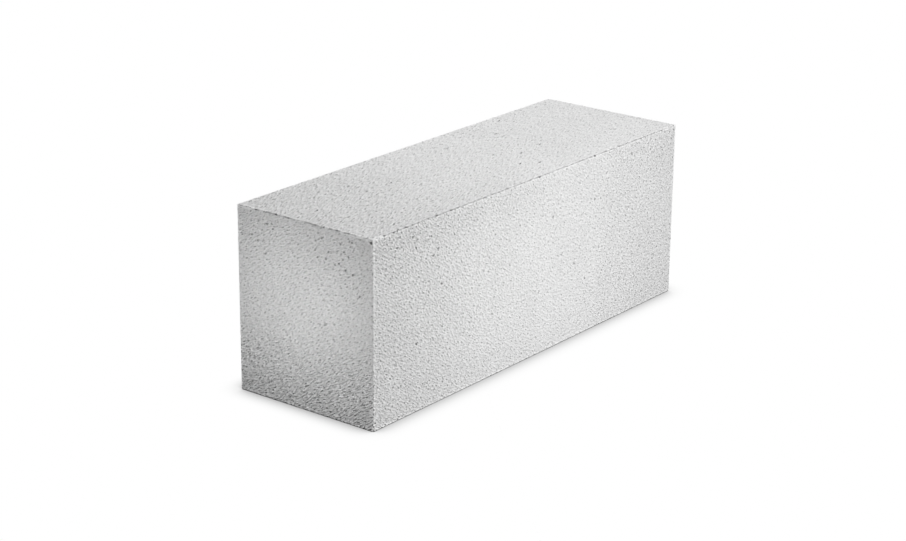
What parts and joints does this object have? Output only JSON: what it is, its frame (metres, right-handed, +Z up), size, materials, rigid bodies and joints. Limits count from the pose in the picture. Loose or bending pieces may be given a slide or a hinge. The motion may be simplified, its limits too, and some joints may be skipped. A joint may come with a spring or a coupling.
{
  "type": "aerated concrete block",
  "caption": "Plain cuboid wall block of pale grey aerated concrete with flat wire-cut faces, softened arrises and an open-pored surface, laid in courses on thin mortar.",
  "frame": {"origin": "middle of the lower bed face, which the block stands on", "axes": "+X along the block's length, +Y across its width, +Z up from the lower bed face"},
  "size_m": [0.6, 0.2, 0.225],
  "materials": {
    "aerated_concrete": "matte, open-pored"
  },
  "bodies": {
    "root": {"block": "aerated_concrete"}
  },
  "joints": []
}
